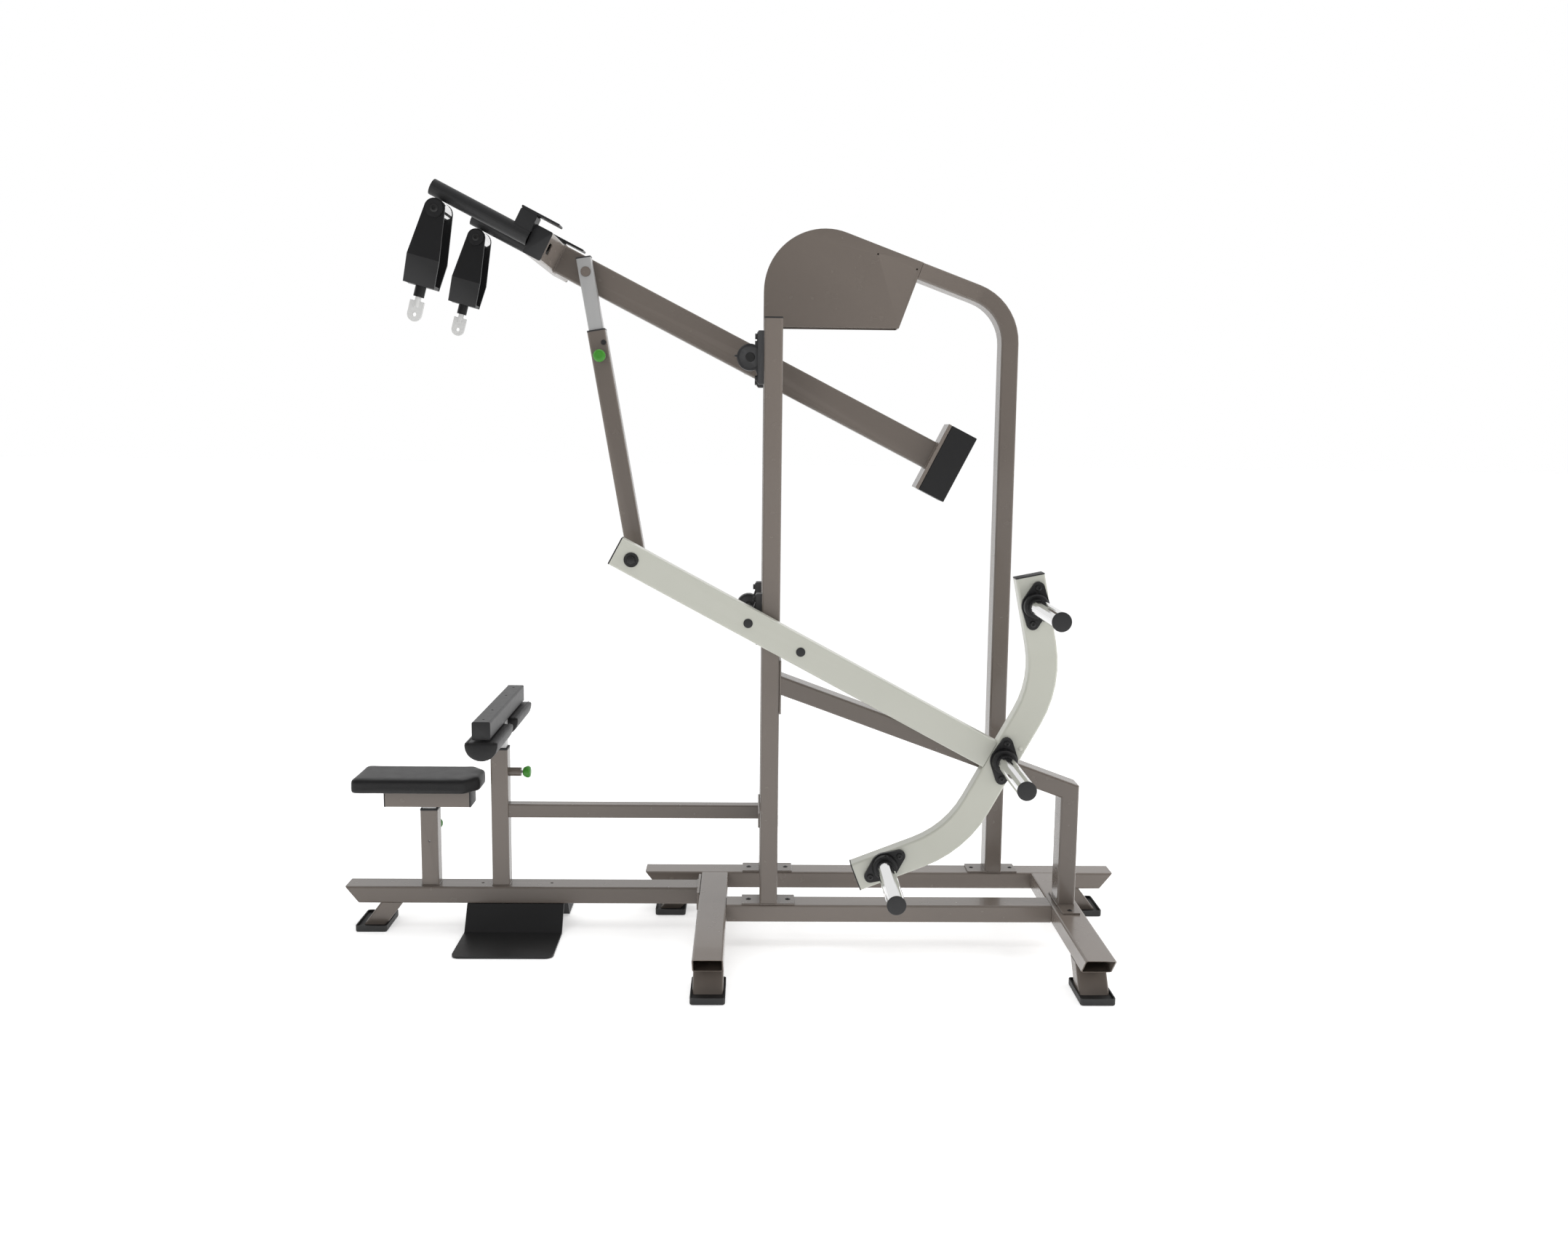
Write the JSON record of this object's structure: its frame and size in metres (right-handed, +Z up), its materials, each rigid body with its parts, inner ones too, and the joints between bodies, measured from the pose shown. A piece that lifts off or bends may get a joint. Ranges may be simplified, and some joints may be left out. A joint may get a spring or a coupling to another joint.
{
  "type": "lat pulldown machine",
  "caption": "Plate-loaded lat pulldown machine with a pivoting pull lever, telescopic link, weight arm with plate horns, and a height-adjustable seat and thigh pad.",
  "frame": {"origin": "centre of the footprint on the floor", "axes": "+X away from the user towards the weights, +Y away from the plate horns, +Z up"},
  "size_m": [2.286, 0.9276, 2.0843],
  "materials": {
    "front_crossbeam": "warm grey-brown gloss powder coat",
    "rear_crossbeam": "warm grey-brown gloss powder coat",
    "near_rail": "warm grey-brown gloss powder coat",
    "far_rail": "warm grey-brown gloss powder coat",
    "bench_beam": "warm grey-brown gloss powder coat",
    "near_upright": "warm grey-brown gloss powder coat",
    "far_upright": "warm grey-brown gloss powder coat",
    "arch": "warm grey-brown gloss powder coat",
    "hood": "warm grey-brown gloss powder coat",
    "brace": "warm grey-brown gloss powder coat",
    "stretcher": "warm grey-brown gloss powder coat",
    "upright_tie": "warm grey-brown gloss powder coat",
    "seat_post": "warm grey-brown gloss powder coat",
    "thigh_post": "warm grey-brown gloss powder coat",
    "foot_bench": "moulded black rubber",
    "foot_far_front": "moulded black rubber",
    "foot_far_rear": "moulded black rubber",
    "foot_near_front": "moulded black rubber",
    "foot_near_rear": "moulded black rubber",
    "footrest_near": "black powder coat",
    "footrest_far": "black powder coat",
    "upper_bearing_near": "black painted casting",
    "upper_bearing_far": "black painted casting",
    "lower_bearing_near": "black painted casting",
    "lower_bearing_far": "black painted casting",
    "top_lever": "warm grey-brown gloss powder coat",
    "lever_crosspiece": "warm grey-brown gloss powder coat",
    "handle_tube_near": "black powder coat",
    "handle_tube_far": "black powder coat",
    "stop_plate_near": "black powder coat",
    "stop_plate_far": "black powder coat",
    "pivot_drum_near": "polished chrome",
    "pivot_drum_far": "polished chrome",
    "counterweight": "black powder coat",
    "upper_shaft": "satin plated steel",
    "clevis_near": "black powder coat",
    "clevis_far": "black powder coat",
    "swivel_near": "satin plated steel",
    "swivel_far": "satin plated steel",
    "link_inner": "satin plated steel",
    "link_outer": "warm grey-brown gloss powder coat",
    "link_pin_knob": "green moulded plastic",
    "lower_arm": "off-white gloss powder coat",
    "weight_bracket": "off-white gloss powder coat",
    "lower_shaft": "satin plated steel",
    "horn_flange_top": "black powder coat",
    "horn_flange_mid": "black powder coat",
    "horn_flange_bottom": "black powder coat",
    "weight_horn_top": "polished chrome",
    "weight_horn_mid": "polished chrome",
    "weight_horn_bottom": "polished chrome",
    "seat_inner_post": "satin plated steel",
    "seat_bracket": "warm grey-brown gloss powder coat",
    "seat_pad": "black vinyl over foam",
    "seat_pin_knob": "green moulded plastic",
    "thigh_inner_post": "satin plated steel",
    "thigh_crossbar": "black powder coat",
    "thigh_pad_near": "black vinyl over foam",
    "thigh_pad_far": "black vinyl over foam",
    "thigh_pin_knob": "green moulded plastic"
  },
  "bodies": {
    "frame": {"front_crossbeam": "front_crossbeam", "rear_crossbeam": "rear_crossbeam", "near_rail": "near_rail", "far_rail": "far_rail", "bench_beam": "bench_beam", "near_upright": "near_upright", "far_upright": "far_upright", "arch": "arch", "hood": "hood", "brace": "brace", "stretcher": "stretcher", "upright_tie": "upright_tie", "seat_post": "seat_post", "thigh_post": "thigh_post", "foot_bench": "foot_bench", "foot_far_front": "foot_far_front", "foot_far_rear": "foot_far_rear", "foot_near_front": "foot_near_front", "foot_near_rear": "foot_near_rear", "footrest_near": "footrest_near", "footrest_far": "footrest_far", "upper_bearing_near": "upper_bearing_near", "upper_bearing_far": "upper_bearing_far", "lower_bearing_near": "lower_bearing_near", "lower_bearing_far": "lower_bearing_far"},
    "pull_lever": {"top_lever": "top_lever", "lever_crosspiece": "lever_crosspiece", "handle_tube_near": "handle_tube_near", "handle_tube_far": "handle_tube_far", "stop_plate_near": "stop_plate_near", "stop_plate_far": "stop_plate_far", "pivot_drum_near": "pivot_drum_near", "pivot_drum_far": "pivot_drum_far", "counterweight": "counterweight", "upper_shaft": "upper_shaft"},
    "clevis_near": {"clevis_near": "clevis_near"},
    "clevis_far": {"clevis_far": "clevis_far"},
    "swivel_near": {"swivel_near": "swivel_near"},
    "swivel_far": {"swivel_far": "swivel_far"},
    "link_inner": {"link_inner": "link_inner"},
    "link_outer": {"link_outer": "link_outer"},
    "link_pin": {"link_pin_knob": "link_pin_knob"},
    "weight_arm": {"lower_arm": "lower_arm", "weight_bracket": "weight_bracket", "lower_shaft": "lower_shaft", "horn_flange_top": "horn_flange_top", "horn_flange_mid": "horn_flange_mid", "horn_flange_bottom": "horn_flange_bottom", "weight_horn_top": "weight_horn_top", "weight_horn_mid": "weight_horn_mid", "weight_horn_bottom": "weight_horn_bottom"},
    "seat": {"seat_inner_post": "seat_inner_post", "seat_bracket": "seat_bracket", "seat_pad": "seat_pad"},
    "seat_pin": {"seat_pin_knob": "seat_pin_knob"},
    "thigh_rest": {"thigh_inner_post": "thigh_inner_post", "thigh_crossbar": "thigh_crossbar", "thigh_pad_near": "thigh_pad_near", "thigh_pad_far": "thigh_pad_far"},
    "thigh_pin": {"thigh_pin_knob": "thigh_pin_knob"}
  },
  "joints": [
    {"name": "pull_lever_pivot", "type": "hinge", "parent": "frame", "child": "pull_lever", "pos_m": [0.0255, 0.14125, 1.651], "axis": [0, -1, 0], "range_deg": [0, 38]},
    {"name": "weight_arm_pivot", "type": "hinge", "parent": "frame", "child": "weight_arm", "pos_m": [0.0255, 0.14125, 0.939], "axis": [0, -1, 0], "range_deg": [0, 52.8]},
    {"name": "link_swing", "type": "hinge", "parent": "pull_lever", "child": "link_inner", "pos_m": [-0.42486, 0.08625, 1.87948], "axis": [0, -1, 0], "range_deg": [-35.8, 0]},
    {"name": "link_length", "type": "slide", "parent": "link_inner", "child": "link_outer", "axis": [0.1711, 0, -0.9853], "range_m": [0, 0.1]},
    {"name": "link_pin_pull", "type": "slide", "parent": "link_outer", "child": "link_pin", "axis": [0, -1, 0], "range_m": [0, 0.01], "stiffness_N_per_m": 400},
    {"name": "seat_height", "type": "slide", "parent": "frame", "child": "seat", "axis": [0, 0, 1], "range_m": [0, 0.12]},
    {"name": "seat_pin_pull", "type": "slide", "parent": "frame", "child": "seat_pin", "axis": [0, 1, 0], "range_m": [0, 0.01], "stiffness_N_per_m": 400},
    {"name": "thigh_rest_height", "type": "slide", "parent": "frame", "child": "thigh_rest", "axis": [0, 0, 1], "range_m": [-0.07, 0.1]},
    {"name": "thigh_pin_pull", "type": "slide", "parent": "frame", "child": "thigh_pin", "axis": [1, 0, 0], "range_m": [0, 0.01], "stiffness_N_per_m": 400},
    {"name": "clevis_swing_near", "type": "hinge", "parent": "pull_lever", "child": "clevis_near", "pos_m": [-0.77721, -0.12675, 2.00408], "axis": [0, -1, 0], "range_deg": [-55, 55]},
    {"name": "swivel_turn_near", "type": "hinge", "parent": "clevis_near", "child": "swivel_near", "pos_m": [-0.82454, -0.12675, 1.82368], "axis": [-0.2538, 0, -0.9673], "continuous": true},
    {"name": "clevis_swing_far", "type": "hinge", "parent": "pull_lever", "child": "clevis_far", "pos_m": [-0.77721, 0.40925, 2.00408], "axis": [0, -1, 0], "range_deg": [-55, 55]},
    {"name": "swivel_turn_far", "type": "hinge", "parent": "clevis_far", "child": "swivel_far", "pos_m": [-0.82454, 0.40925, 1.82368], "axis": [-0.2538, 0, -0.9673], "continuous": true}
  ],
  "couplings": [
    {"joint": "weight_arm_pivot", "follows": "pull_lever_pivot", "ratio": 1.386},
    {"joint": "link_swing", "follows": "pull_lever_pivot", "ratio": -0.94}
  ]
}
